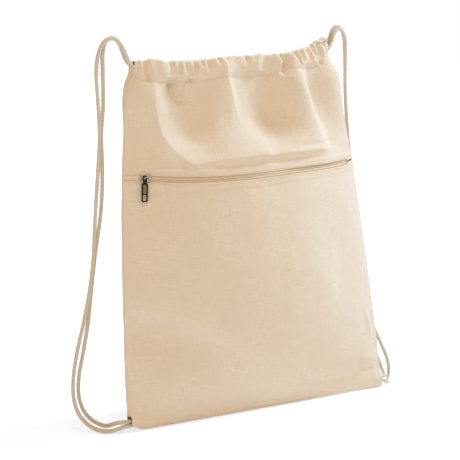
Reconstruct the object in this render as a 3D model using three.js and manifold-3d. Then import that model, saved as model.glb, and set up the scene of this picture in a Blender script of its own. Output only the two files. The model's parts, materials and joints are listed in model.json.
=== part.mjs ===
// Cotton drawstring backpack with a zipped front pocket, standing filled on its base.
// Millimetres, +Z up. The zipped face looks along -Y, and +X is on the right as that face is seen.
//
// Every sewn piece is first made flat, as it lies on the cutting table:
//   flat X runs along the piece from side seam (-FLAT_HALF) to side seam (+FLAT_HALF),
//   flat Y is the depth into the bag below the outer surface of the cloth,
//   flat Z is the height of the cloth line along the side seam.
// It is then draped on the front or the back of the filled bag.

import * as THREE from 'three';
import { mergeVertices } from 'three/addons/utils/BufferGeometryUtils.js';
import Module from 'manifold-3d';

const wasm = await Module();
wasm.setup();

// --- Driving dimensions ---------------------------------------------------------------------------

const FLAT_HALF = 150;
const CLOTH = 1.2; // panel thickness
const GAP = 0.3; // air between pieces that touch

const TOP = 414; // top edge of the bag at its middle
const CASING_HEIGHT = 26; // tunnel for the drawcords
const CASING_FOOT = TOP - CASING_HEIGHT;
const TOP_SKEW = 8; // the right top corner is pulled up by this much, the left one hangs as much lower
const LEAN = 0.141; // the side seams lean back by this much of their height
const SETBACK = 28.9; // puts the middle of the bag's depth at y = 0
const SEAM_GAP = 1.4; // from the side seam to the outer face of either panel
const MOUTH_GAP = 4; // the same at the casings, where the side seams stay open
const CORNER_OPENING = 4.2; // extra room for the cord ends in the bottom corners
const CORNER_HEIGHT = 9.6;
const CORNER_SPREAD = 8;

// The filled front at several heights: half width, forward bulge and droop of the middle.
const FRONT = [
  { z: 0, half: 182, bulge: 0, droop: 0 },
  { z: 50, half: 180.5, bulge: 24, droop: 1 },
  { z: 120, half: 176.5, bulge: 42, droop: 3 },
  { z: 200, half: 170.8, bulge: 47, droop: 5 },
  { z: 280, half: 163, bulge: 42, droop: 5.5 },
  { z: 350, half: 152.5, bulge: 24, droop: 5 },
  { z: 388, half: 143, bulge: 11, droop: 4.6 },
  { z: 414, half: 137.5, bulge: 7, droop: 4.4 },
];

// The filled back: its bulge, and how far the middle sinks below the side seam to make the base.
const BACK = [
  { z: 0, bulge: 0, sink: 0 },
  { z: 7, bulge: 24, sink: 7.6 },
  { z: 14, bulge: 44, sink: 14.4 },
  { z: 24, bulge: 54, sink: 15 },
  { z: 40, bulge: 57, sink: 9 },
  { z: 80, bulge: 57, sink: 2 },
  { z: 130, bulge: 55, sink: 0 },
  { z: 200, bulge: 52, sink: 1 },
  { z: 280, bulge: 43, sink: 3 },
  { z: 350, bulge: 24, sink: 4 },
  { z: 388, bulge: 11, sink: 4.6 },
  { z: 414, bulge: 7, sink: 4.4 },
];

const ZIP = 280; // height of the zip's middle line
const WINDOW_HALF = 3.6; // half of the slot between the two hems
const TAPE = { inner: 0.6, outer: 12, front: 1.5, back: 2.1 };
const COIL = { inner: 0.8, outer: 3, front: 2.4, back: 3.8 };
const STITCH = { width: 0.6, front: -0.8, back: -0.3 };
const ZIP_STITCH = 5.2; // from the zip's middle line to either row of stitches
const ZIP_LEFT = -0.905; // the slot between the hems starts here, as a share of the half width
const SLIDER_AT = -0.856; // the closed zip's slider, as a share of the half width
const LINING_ROOM = 7; // depth of the pocket behind its face

const CORD = 4.4; // braided drawcord diameter
const CORD_HALF_SIDES = 4;

const CALICO = { color: 0xdcc6a6, roughness: 0.92, metalness: 0 };
const TAPE_CLOTH = { color: 0xe2cfae, roughness: 0.85, metalness: 0 };
const NYLON = { color: 0xd8c39c, roughness: 0.5, metalness: 0 };
const THREAD = { color: 0xd5bf9b, roughness: 0.9, metalness: 0 };
const BRAID = { color: 0xc8b699, roughness: 0.95, metalness: 0 };
const NICKEL = { color: 0xb9b6ac, roughness: 0.35, metalness: 1 };
const BRASS = { color: 0x5d5138, roughness: 0.45, metalness: 1 };

// --- The filled bag's surfaces --------------------------------------------------------------------

const { clamp, smoothstep } = THREE.MathUtils;

function slopeAt(stations, i, key) {
  const before = stations[Math.max(i - 1, 0)];
  const after = stations[Math.min(i + 1, stations.length - 1)];
  return (after[key] - before[key]) / (after.z - before.z);
}

// A smooth curve through the stations' values of one key.
function valueAt(stations, key, z) {
  const last = stations.length - 2;
  const found = stations.findIndex((station) => station.z > z) - 1;
  const i = found < 0 ? last : Math.min(found, last);
  const [a, b] = [stations[i], stations[i + 1]];
  const span = b.z - a.z;
  const t = clamp((z - a.z) / span, 0, 1);
  const rise = b[key] - a[key];
  const startSlope = slopeAt(stations, i, key) * span;
  const endSlope = slopeAt(stations, i + 1, key) * span;
  const c2 = 3 * rise - 2 * startSlope - endSlope;
  const c3 = startSlope + endSlope - 2 * rise;
  return a[key] + t * (startSlope + t * (c2 + t * c3));
}

// Height of a circular arc over its chord, as a share of its sagitta: 1 in the middle, 0 at the ends.
function arcShare(s, half, sagitta) {
  if (sagitta < 1) {
    return 1 - s * s;
  }
  const radius = (half * half + sagitta * sagitta) / (2 * sagitta);
  return (Math.sqrt(radius * radius - (s * half) ** 2) - (radius - sagitta)) / sagitta;
}

// From the side seam's plane to the outer face of either panel.
function seamGap(s, z) {
  const mouth = (MOUTH_GAP - SEAM_GAP) * smoothstep(z, 346, CASING_FOOT);
  const corner = CORNER_OPENING * s ** 8 * Math.exp(-(((z - CORNER_HEIGHT) / CORNER_SPREAD) ** 2));
  return SEAM_GAP + mouth + corner;
}

// Where the side seams run.
function seamY(z) {
  return LEAN * z - SETBACK;
}

function skew(s, z) {
  return TOP_SKEW * s * smoothstep(z, ZIP + 14, TOP);
}

function frontSurface(s, z) {
  const half = valueAt(FRONT, 'half', z);
  const bulge = valueAt(FRONT, 'bulge', z);
  const droop = valueAt(FRONT, 'droop', z);
  const share = arcShare(s, half, Math.hypot(bulge, droop));
  const y = seamY(z) - seamGap(s, z) - bulge * share;
  return new THREE.Vector3(s * half, y, z + skew(s, z) - droop * share);
}

// Seen from behind, so s runs from +X to -X. The lowest part is pressed flat by the floor.
function backSurface(s, z) {
  const half = valueAt(FRONT, 'half', z);
  const bulge = valueAt(BACK, 'bulge', z);
  const y = seamY(z) + seamGap(s, z) + bulge * arcShare(s, half, bulge);
  const sunk = z - valueAt(BACK, 'sink', z) * (1 - s ** 4);
  return new THREE.Vector3(-s * half, y, Math.max(0, sunk) + skew(-s, z));
}

// Unit vector into the bag at one point of a surface.
function inwardAt(surface, s, z) {
  const step = 0.002;
  const rise = 0.5;
  const along = surface(s + step, z).sub(surface(s - step, z));
  const low = surface(s, Math.max(z - rise, 0));
  const up = surface(s, Math.min(z + rise, TOP)).sub(low);
  return up.cross(along).normalize();
}

function drapedPoint(surface, x, depth, z) {
  const s = x / FLAT_HALF;
  return surface(s, z).addScaledVector(inwardAt(surface, s, z), depth);
}

function drape(geometry, surface) {
  const position = geometry.attributes.position;
  for (let i = 0; i < position.count; i += 1) {
    const point = drapedPoint(surface, position.getX(i), position.getY(i), position.getZ(i));
    position.setXYZ(i, point.x, point.y, point.z);
  }
  return geometry;
}

// --- Solids ---------------------------------------------------------------------------------------

function welded(geometry) {
  const bare = geometry.clone();
  bare.deleteAttribute('normal');
  bare.deleteAttribute('uv');
  return mergeVertices(bare, 1e-4);
}

function toSolid(geometry) {
  const { index, attributes } = welded(geometry);
  const vertProperties = new Float32Array(attributes.position.array);
  const triVerts = new Uint32Array(index.array);
  return new wasm.Manifold(new wasm.Mesh({ numProp: 3, vertProperties, triVerts }));
}

function toGeometry(solid) {
  const mesh = solid.getMesh();
  const geometry = new THREE.BufferGeometry();
  geometry.setAttribute('position', new THREE.BufferAttribute(mesh.vertProperties, 3));
  geometry.setIndex(new THREE.BufferAttribute(mesh.triVerts, 1));
  return geometry;
}

function piece(name, geometry, material) {
  geometry.computeVertexNormals();
  const mesh = new THREE.Mesh(geometry, new THREE.MeshStandardMaterial(material));
  mesh.name = name;
  return mesh;
}

// A box between two corners, with segments along X and Z.
function slab(from, to, across = 1, up = 1) {
  const size = to.map((value, axis) => value - from[axis]);
  const geometry = new THREE.BoxGeometry(...size, across, 1, up);
  return geometry.translate(...from.map((value, axis) => value + size[axis] / 2));
}

// An outline in the X-Z plane, made solid along Y from one depth to another.
function plate(shape, from, to, curveSegments = 8) {
  const options = { depth: to - from, bevelEnabled: false, curveSegments };
  const turned = new THREE.ExtrudeGeometry(shape, options).rotateX(Math.PI / 2);
  return turned.translate(0, to, 0);
}

function roundedRect(path, width, height, radius, x = 0, y = 0) {
  const [right, top] = [x + width / 2 - radius, y + height / 2 - radius];
  const [left, bottom] = [x - width / 2 + radius, y - height / 2 + radius];
  path.absarc(right, bottom, radius, -Math.PI / 2, 0);
  path.absarc(right, top, radius, 0, Math.PI / 2);
  path.absarc(left, top, radius, Math.PI / 2, Math.PI);
  path.absarc(left, bottom, radius, Math.PI, Math.PI * 1.5);
  path.closePath();
  return path;
}

// --- Sewn panels ----------------------------------------------------------------------------------

const END = FLAT_HALF * 0.999; // panels stop just short of the side seam

// A crowding over 1 packs the rows together near the base, where the cloth turns sharply.
function panel(name, surface, low, high, rows, crowding = 1) {
  const flat = slab([-END, 0, 0], [END, CLOTH, 1], 24, rows);
  const position = flat.attributes.position;
  for (let i = 0; i < position.count; i += 1) {
    position.setZ(i, low + (high - low) * position.getZ(i) ** crowding);
  }
  return piece(name, drape(flat, surface), CALICO);
}

// The pocket's rear wall: close behind its face at the edges, and free of it in the middle.
function liningDepth(x, z) {
  const sides = 1 - Math.abs(x / (FLAT_HALF * 0.96)) ** 20;
  const foot = smoothstep(z, 16, 60);
  const head = 1 - smoothstep(z, ZIP + 6, ZIP + 15);
  return CLOTH + 1.1 + LINING_ROOM * sides * foot * head + 0.8 * (1 - head);
}

function pocketLining() {
  const thickness = 0.8;
  const edge = FLAT_HALF * 0.96;
  const [low, high] = [16, ZIP + 16];
  const flat = slab([-edge, 0, 0], [edge, thickness, 1], 24, 18);
  const position = flat.attributes.position;
  for (let i = 0; i < position.count; i += 1) {
    const z = high - (high - low) * (1 - position.getZ(i)) ** 1.6;
    position.setY(i, position.getY(i) + liningDepth(position.getX(i), z));
    position.setZ(i, z);
  }
  return piece('pocket_lining', drape(flat, frontSurface), CALICO);
}

// A casing is a flat tunnel. Near the side seams its inner wall is open,
// so that each cord can cross from the front tunnel to the back one.
function casing(name, surface) {
  const wall = 1;
  const [height, depth] = [CASING_HEIGHT - GAP, 7.6];
  const middle = TOP - height / 2;
  const shape = roundedRect(new THREE.Shape(), depth, height, 3.4, -0.2, middle);
  shape.holes.push(roundedRect(new THREE.Path(), depth - 2 * wall, height - 2 * wall, 2.4, -0.2, middle));
  const options = { depth: 2 * END, steps: 26, bevelEnabled: false, curveSegments: 1 };
  const tube = new THREE.ExtrudeGeometry(shape, options).translate(0, 0, -END);
  const axes = [new THREE.Vector3(0, 1, 0), new THREE.Vector3(0, 0, 1), new THREE.Vector3(1, 0, 0)];
  tube.applyMatrix4(new THREE.Matrix4().makeBasis(...axes));
  const windows = [-1, 1].map((side) => {
    const [near, far] = [side * FLAT_HALF * 0.7, side * FLAT_HALF * 1.1];
    const low = middle - height / 2 + 2.5;
    return toSolid(slab([Math.min(near, far), 1, low], [Math.max(near, far), 6, low + height - 5]));
  });
  const open = windows.reduce((solid, cut) => solid.subtract(cut), toSolid(tube));
  return piece(name, drape(toGeometry(open), surface), CALICO);
}

// --- Seams and stitches ---------------------------------------------------------------------------

// The stitched edge where front and back meet, from above the cord ends up to the casings.
function sideSeam(name, side) {
  const flat = slab([GAP, -1.4, CORNER_HEIGHT + 7.5], [GAP + 2, 1.4, CASING_FOOT - 2], 1, 24);
  const position = flat.attributes.position;
  for (let i = 0; i < position.count; i += 1) {
    const z = position.getZ(i);
    const x = side * (valueAt(FRONT, 'half', z) + position.getX(i));
    position.setXYZ(i, x, seamY(z) + side * position.getY(i), z + skew(side, z));
  }
  return piece(name, flat, CALICO);
}

function bottomSeam() {
  const half = FRONT[0].half - 14;
  const y = seamY(0);
  return piece('bottom_seam', slab([-half, y - 3, 0.4], [half, y + 0.7, 1.4], 12, 1), CALICO);
}

function stitchRow(name, surface, z, from = -0.975, to = 0.975) {
  const low = [from * FLAT_HALF, STITCH.front, z - STITCH.width / 2];
  const high = [to * FLAT_HALF, STITCH.back, z + STITCH.width / 2];
  return piece(name, drape(slab(low, high, 24, 1), surface), THREAD);
}

// Bar tack across the two cord ends, inside a bottom corner.
function cordTack(name, side) {
  const x = side * (FRONT[0].half - 9);
  const y = seamY(0);
  return piece(name, slab([x - 1, y + 1, CORNER_HEIGHT - 4], [x + 1, y + 3.1, CORNER_HEIGHT + 4]), THREAD);
}

// --- Zip ------------------------------------------------------------------------------------------

function zipStrip(name, size, side, from, to, material) {
  const [low, high] = side > 0 ? [size.inner, size.outer] : [-size.outer, -size.inner];
  const start = [from * FLAT_HALF, size.front, ZIP + low];
  const end = [to * FLAT_HALF, size.back, ZIP + high];
  return piece(name, drape(slab(start, end, 24, 1), frontSurface), material);
}

function zipEndTab() {
  const high = WINDOW_HALF - GAP;
  const flat = slab([-END, 0, ZIP - high], [ZIP_LEFT * FLAT_HALF, CLOTH, ZIP + high], 4, 1);
  return piece('zipper_end_tab', drape(flat, frontSurface), CALICO);
}

function zipStop(name, share) {
  const x = share * FLAT_HALF;
  const flat = slab([x - 1, 0.4, ZIP - 2], [x + 1, 1.2, ZIP + 2]);
  return piece(name, drape(flat, frontSurface), NICKEL);
}

// Slider, in its own frame: X along the zip, Y into the bag, Z across the zip.
const SLIDER = { length: 10, height: 8.3, faceFront: -2, faceBack: -0.7 };
const BAIL = { leg: 2.6, width: 1.1, inside: -5.1, outside: -6 };
const LINK = { front: -4.5, back: -3.5, eye: 1.5, rim: 2.9, pivot: 4.45, hang: 0.4 };

function sliderGeometry() {
  const { length, height, faceFront, faceBack } = SLIDER;
  const face = plate(roundedRect(new THREE.Shape(), length, height, 2.6), faceFront, faceBack);
  const parts = [
    slab([-length / 2 + 1, faceBack - 0.1, -3.2], [length / 2 - 1, 1, 3.2]),
    slab([-2.5, 0.9, -0.3], [2.5, 4.5, 0.3]),
    slab([-length / 2 + 1, 4.4, -3.4], [length / 2 - 1, 5.4, 3.4]),
    slab([-BAIL.leg - 0.5, BAIL.outside, -0.6], [-BAIL.leg + 0.5, faceFront + 0.1, 0.6]),
    slab([BAIL.leg - 0.5, BAIL.outside, -0.6], [BAIL.leg + 0.5, faceFront + 0.1, 0.6]),
    slab([-BAIL.leg - 0.5, BAIL.outside, -0.6], [BAIL.leg + 0.5, BAIL.inside, 0.6]),
  ];
  return toGeometry(parts.reduce((solid, part) => solid.add(toSolid(part)), toSolid(face)));
}

// Link: an eye round the bail's left leg, and a bar below it for the pull tab.
function linkGeometry() {
  const { front, back, eye, rim, pivot } = LINK;
  const shape = new THREE.Shape();
  const foot = -pivot - 0.55;
  shape.moveTo(-2.3, foot);
  shape.lineTo(2.3, foot);
  shape.lineTo(2.3, -1.77);
  shape.absarc(0, 0, rim, Math.asin(-1.77 / rim), Math.PI - Math.asin(-1.77 / rim));
  shape.closePath();
  shape.holes.push(new THREE.Path().absarc(0, 0, eye, 0, 2 * Math.PI));
  const slot = new THREE.Path();
  shape.holes.push(roundedRect(slot, 3, 1.4, 0.2, 0, -pivot + 1.25));
  return plate(shape, front, back, 6);
}

// Pull tab: a framed plate with a slot near its lower end, hung on the link's bar by a small barrel.
const TAB = { width: 7, length: 21, thickness: 1.6, rest: THREE.MathUtils.degToRad(3) };

function tabGeometry() {
  const { width, length, thickness } = TAB;
  const neck = 1.3;
  const centre = -neck - length / 2;
  const shape = roundedRect(new THREE.Shape(), width, length, 1.4, 0, centre);
  const slotCentre = -neck - length + 1.5 + 3.2;
  shape.holes.push(roundedRect(new THREE.Path(), width - 3, 6.4, 0.8, 0, slotCentre));
  const body = toSolid(plate(shape, -thickness / 2, thickness / 2, 4));
  const recess = slab([-width / 2 + 1.4, -1, -neck - 12.6], [width / 2 - 1.4, -0.45, -neck - 1.2]);
  const barrel = new THREE.CylinderGeometry(1.55, 1.55, 2.4, 16).rotateZ(Math.PI / 2);
  const bore = new THREE.CylinderGeometry(1.05, 1.05, 8, 16).rotateZ(Math.PI / 2);
  const solid = body.subtract(toSolid(recess)).add(toSolid(barrel)).subtract(toSolid(bore));
  return toGeometry(solid);
}

// Places a group on the closed end of the zip, square to the cloth.
function atSlider(group) {
  const origin = frontSurface(SLIDER_AT, ZIP);
  const step = 0.002;
  const before = frontSurface(SLIDER_AT - step, ZIP);
  const along = frontSurface(SLIDER_AT + step, ZIP).sub(before).normalize();
  const inward = inwardAt(frontSurface, SLIDER_AT, ZIP);
  const across = along.clone().cross(inward);
  group.setRotationFromMatrix(new THREE.Matrix4().makeBasis(along, inward, across));
  group.position.copy(origin);
  return group;
}

function slider() {
  const group = atSlider(new THREE.Group());
  const body = piece('zipper_slider', sliderGeometry(), NICKEL);
  const link = piece('pull_link', linkGeometry(), BRASS);
  link.position.set(-BAIL.leg, 0, -LINK.hang);
  const tab = piece('pull_tab', tabGeometry(), BRASS);
  tab.position.set(-BAIL.leg, (LINK.front + LINK.back) / 2, -LINK.hang - LINK.pivot);
  tab.rotation.x = TAB.rest;
  group.add(body, link, tab);
  return group;
}

// --- Drawcords ------------------------------------------------------------------------------------

// Each cord starts in its own bottom corner, climbs to that side's casing ends, runs through
// the front tunnel to the far side, turns back through the rear tunnel and comes down again.
const LEFT_CORD = [
  [-175.4, -27.5, 7.2], [-185, -27.5, 7.1], [-193, -26.8, 5.6], [-200, -23, 3.4], [-206, -16.5, 2.5],
  [-212, -8, 3.6], [-219, 0, 9.5], [-226, 6, 21], [-230, 9, 38], [-229, 11, 60], [-222.5, 12.5, 90],
  [-213, 14.5, 120], [-204.5, 16, 152], [-198, 18, 187], [-193, 20, 240], [-188, 22, 285],
  [-184, 24, 325], [-184.5, 26, 365], [-185.5, 27, 392], [-183, 28, 411], [-178.5, 28, 423],
  [-171, 28, 431], [-162, 27.2, 432], [-154.5, 26.2, 425.5], [-149.5, 25.2, 416], [-145, 24.5, 406.5],
  [-139, 24, 400.5], [-130, 23.2, 398.6], [-115, 21.6, 398.3], [-97.5, 20, 398.2],
  [-49, 17.1, 399.4], [0, 16.1, 401.6], [49, 17.1, 404.9], [80, 18.7, 407.6], [101, 20.3, 409.1],
  [106, 21.4, 408.4], [109.7, 24.4, 406.3], [111, 28.4, 403.4], [109.7, 32.4, 400.5],
  [106, 35.2, 398.5], [101, 36.2, 397.8], [80, 37.3, 396.3], [49.5, 39.3, 394.1], [0, 40.5, 391.4],
  [-49.5, 39.3, 388.8], [-99, 35.9, 387.2], [-112, 34.4, 388.4], [-122, 32.4, 392.8],
  [-130.5, 30.2, 397.4], [-138.5, 29, 400.6], [-145, 29.8, 407], [-149, 30.5, 416],
  [-153, 31.3, 426], [-160.6, 32.1, 432.6], [-169.4, 32.8, 429.4], [-173.4, 33, 418],
  [-174, 32.5, 395], [-174.5, 31.5, 360], [-178.5, 29.5, 326], [-179, 27.5, 285], [-182.5, 25.5, 243],
  [-193, 23.2, 187], [-199.5, 21, 150], [-204.5, 19.5, 118], [-212, 18, 86], [-219, 16.5, 58],
  [-219.5, 15.5, 36], [-213, 15.5, 18.5], [-204.5, 12.5, 8], [-198.5, 4.5, 4], [-196.5, -6, 4.8],
  [-196, -15.5, 8.4], [-192.8, -23.6, 11.4], [-185.5, -27.3, 12], [-175.4, -27.5, 12],
];

const RIGHT_CORD = [
  [175.4, -27.5, 7.2], [185, -27.5, 7], [193, -26, 5], [201, -20, 2.8], [208, -12.5, 4],
  [213, -8, 13], [211.5, -5.5, 28], [206, -3.5, 42], [197, -2, 60], [188, 0.5, 82], [181.5, 5, 110],
  [176.5, 10, 150], [173.5, 14, 200], [171, 18, 250], [168.5, 22.5, 300], [167.5, 26.5, 340],
  [167.5, 29, 370], [169, 31, 393], [169.6, 32, 411], [168.6, 32, 425.5], [163.6, 31.4, 435],
  [156.4, 30.2, 437.4], [149.8, 28.8, 433], [145.3, 27.2, 425], [140.2, 25.7, 417.6],
  [132, 24, 411], [120, 21.2, 403.5], [110, 19.4, 400.4], [99, 18, 399], [49.4, 14.5, 394.7],
  [0, 13.4, 391.5], [-49.4, 14.5, 389.4], [-80, 16.6, 388.6], [-101, 18.4, 388.3],
  [-106.1, 19.7, 388.9], [-109.9, 23, 390.5], [-111.3, 27.5, 392.6], [-109.9, 32, 394.7],
  [-106.1, 35.3, 396.3], [-101, 36.6, 396.9], [-80, 37.9, 397.5], [-48.7, 39.6, 398.8],
  [0, 40.6, 401.5], [48.7, 39.6, 404.3], [98, 36.7, 408.1], [112, 35.3, 409.8], [124, 33.4, 412],
  [132.5, 31.6, 414.6], [139.5, 31, 418], [145.5, 33, 426], [150.5, 34.8, 434.4],
  [158, 36.3, 440.2], [166.2, 37, 437.6], [171.2, 37, 428], [172.8, 36.5, 412], [172.8, 35.5, 393],
  [171.5, 33.5, 370], [171, 31, 340], [172, 27, 300], [174.5, 22.5, 250], [177, 18.5, 200],
  [180, 14.8, 150], [183, 10, 110], [186, 6.5, 84], [190.5, 2.5, 62], [195.5, 0, 42],
  [199.5, -3.5, 27], [200.5, -9.5, 16], [198, -17, 11.2], [192.5, -23.6, 11], [185.5, -27.3, 12],
  [175.4, -27.5, 12],
];

// Rings fall on the route's own points, which stand close together in the bends.
class CordPath extends THREE.CatmullRomCurve3 {
  getUtoTmapping(u) {
    return u;
  }
}

function cord(name, route) {
  const path = new CordPath(route.map((point) => new THREE.Vector3(...point)));
  const section = new THREE.Shape().absarc(0, 0, CORD / 2, 0, 2 * Math.PI);
  const steps = route.length - 1;
  const options = { steps, extrudePath: path, curveSegments: CORD_HALF_SIDES, bevelEnabled: false };
  return piece(name, new THREE.ExtrudeGeometry(section, options), BRAID);
}

// --- Assembly -------------------------------------------------------------------------------------

const bag = new THREE.Group();
bag.add(
  panel('front_lower_panel', frontSurface, 1.8, ZIP - WINDOW_HALF, 16, 1.4),
  panel('front_upper_panel', frontSurface, ZIP + WINDOW_HALF, CASING_FOOT - GAP, 7),
  panel('back_panel', backSurface, 0, CASING_FOOT - GAP, 22, 1.6),
  pocketLining(),
  casing('front_casing', frontSurface),
  casing('back_casing', backSurface),
  sideSeam('side_seam_left', -1),
  sideSeam('side_seam_right', 1),
  bottomSeam(),
  stitchRow('casing_stitch_front', frontSurface, CASING_FOOT - 1.6),
  stitchRow('casing_stitch_back', backSurface, CASING_FOOT - 1.9),
  stitchRow('zip_stitch_upper', frontSurface, ZIP + ZIP_STITCH),
  stitchRow('zip_stitch_lower', frontSurface, ZIP - ZIP_STITCH),
  zipStrip('zipper_tape_upper', TAPE, 1, -0.96, 0.97, TAPE_CLOTH),
  zipStrip('zipper_tape_lower', TAPE, -1, -0.96, 0.97, TAPE_CLOTH),
  zipStrip('zipper_coil_upper', COIL, 1, -0.9, 0.92, NYLON),
  zipStrip('zipper_coil_lower', COIL, -1, -0.9, 0.92, NYLON),
  zipEndTab(),
  zipStop('zipper_stop_left', -0.895),
  zipStop('zipper_stop_right', 0.91),
  slider(),
  cordTack('cord_tack_left', -1),
  cordTack('cord_tack_right', 1),
  cord('drawcord_left', LEFT_CORD),
  cord('drawcord_right', RIGHT_CORD),
);

export default bag;
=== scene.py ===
"""Looks of a cotton drawstring backpack with a zipped front pocket, standing filled on its base.

The sewn pieces are draped on the shape of the filled bag: a point of the cloth is given by its share
of the half width (-1 to 1 across the bag) and the height of the cloth line along the side seam.
Folds, pleats and gathers are then raised or sunk along the cloth's own outward direction.
Lengths are in metres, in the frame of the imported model.
"""
import json
import math

import bpy
import numpy as np
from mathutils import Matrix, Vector


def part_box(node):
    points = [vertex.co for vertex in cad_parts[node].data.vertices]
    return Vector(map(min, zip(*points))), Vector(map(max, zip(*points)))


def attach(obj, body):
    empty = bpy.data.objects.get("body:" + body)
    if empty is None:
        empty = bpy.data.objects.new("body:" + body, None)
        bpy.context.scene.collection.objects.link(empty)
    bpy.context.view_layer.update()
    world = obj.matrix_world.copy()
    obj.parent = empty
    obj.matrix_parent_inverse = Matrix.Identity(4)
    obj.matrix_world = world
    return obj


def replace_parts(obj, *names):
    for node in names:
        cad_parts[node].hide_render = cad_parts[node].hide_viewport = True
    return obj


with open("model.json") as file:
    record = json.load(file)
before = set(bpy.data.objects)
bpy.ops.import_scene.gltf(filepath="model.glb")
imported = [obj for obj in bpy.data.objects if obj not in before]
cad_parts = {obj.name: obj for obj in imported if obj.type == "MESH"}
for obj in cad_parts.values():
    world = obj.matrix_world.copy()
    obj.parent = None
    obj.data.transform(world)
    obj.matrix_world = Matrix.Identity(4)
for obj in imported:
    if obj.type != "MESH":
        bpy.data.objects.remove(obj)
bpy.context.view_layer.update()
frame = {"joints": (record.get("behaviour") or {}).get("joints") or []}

MM = 0.001
UP = np.array([0, 0, 1.0])

# --- Camera ---

CAMERA_PLACE = (-1.0948, -1.5267, 0.493)
CAMERA_AIM = (-0.0452, -0.0289, 0.2152)
CAMERA_LENS = 127.35


def aimed(name, data, place, aim):
    """A camera or light at a place, turned towards its aim."""
    thing = bpy.data.objects.new(name, data)
    bpy.context.scene.collection.objects.link(thing)
    thing.location = place
    thing.rotation_mode = "QUATERNION"
    thing.rotation_quaternion = (Vector(aim) - Vector(place)).to_track_quat("-Z", "Y")
    return thing


def make_camera():
    data = bpy.data.cameras.new("camera")
    data.lens = CAMERA_LENS
    data.sensor_width = 36
    data.clip_start, data.clip_end = 0.05, 50
    bpy.context.scene.camera = aimed("camera", data, CAMERA_PLACE, CAMERA_AIM)


# --- Meshes ---


def mesh_piece(name, points, faces, material, body="bag", slot=None, uv=None):
    """A smooth-shaded mesh object that rides on a body. uv has one pair for each point."""
    mesh = bpy.data.meshes.new(name)
    mesh.from_pydata(np.asarray(points).tolist(), [], faces)
    if uv is not None:
        layer = mesh.uv_layers.new(name="cloth")
        corners = np.empty(len(mesh.loops), dtype=np.int32)
        mesh.loops.foreach_get("vertex_index", corners)
        layer.data.foreach_set("uv", np.asarray(uv, dtype=np.float32)[corners].ravel())
    mesh.shade_smooth()
    mesh.materials.append(material)
    piece = bpy.data.objects.new(name, mesh)
    bpy.context.scene.collection.objects.link(piece)
    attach(piece, body)
    return piece


def grid_faces(rows, columns, wrap=False, start=0):
    """Quads between neighbouring rows and columns of a grid of points."""
    last = columns if wrap else columns - 1
    faces = []
    for i in range(rows - 1):
        for j in range(last):
            k = (j + 1) % columns
            low, high = start + i * columns, start + (i + 1) * columns
            faces.append((low + j, low + k, high + k, high + j))
    return faces


def grid_piece(name, grid, uv, material, **words):
    """A sheet from an array of points with rows up the cloth and columns across it."""
    rows, columns = grid.shape[:2]
    faces = grid_faces(rows, columns)
    return mesh_piece(name, grid.reshape(-1, 3), faces, material, uv=uv.reshape(-1, 2), **words)


def uv_pairs(first, second):
    """Texture coordinates from a row and a column of values."""
    return np.stack(np.broadcast_arrays(first, second), axis=-1)


def thicken(piece, thickness):
    solid = piece.modifiers.new("thickness", "SOLIDIFY")
    solid.thickness, solid.offset = thickness, -1


def tube_rings(centres, radii, sides):
    """Rings of points round a path, turned as little as possible from one ring to the next."""
    centres = np.asarray(centres, dtype=float)
    tangents = np.gradient(centres, axis=0)
    tangents /= np.linalg.norm(tangents, axis=1)[:, None]
    side = np.cross(tangents[0], UP)
    side /= np.linalg.norm(side)
    turns = np.arange(sides) * 2 * math.pi / sides
    rings = np.empty((len(centres), sides, 3))
    for i, (centre, tangent) in enumerate(zip(centres, tangents)):
        side = side - tangent * side.dot(tangent)
        side /= np.linalg.norm(side)
        third = np.cross(tangent, side)
        offsets = np.cos(turns)[:, None] * side + np.sin(turns)[:, None] * third
        rings[i] = centre + offsets * np.broadcast_to(radii[i], (sides,))[:, None]
    return rings


def capped_faces(rings, sides, start=0):
    """The faces of a tube of rings, closed at both ends."""
    faces = grid_faces(rings, sides, wrap=True, start=start)
    faces.append(tuple(start + j for j in reversed(range(sides))))
    faces.append(tuple(start + (rings - 1) * sides + j for j in range(sides)))
    return faces


# --- Drawcords ---

CORD = 0.0044
CORD_STEP = 0.0006
CORD_SIDES = 32
YARNS = 8  # yarns that lean each way round the braid
BRAID_PITCH = 0.0052  # along the cord, for one yarn to move on by its own width twice over

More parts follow.
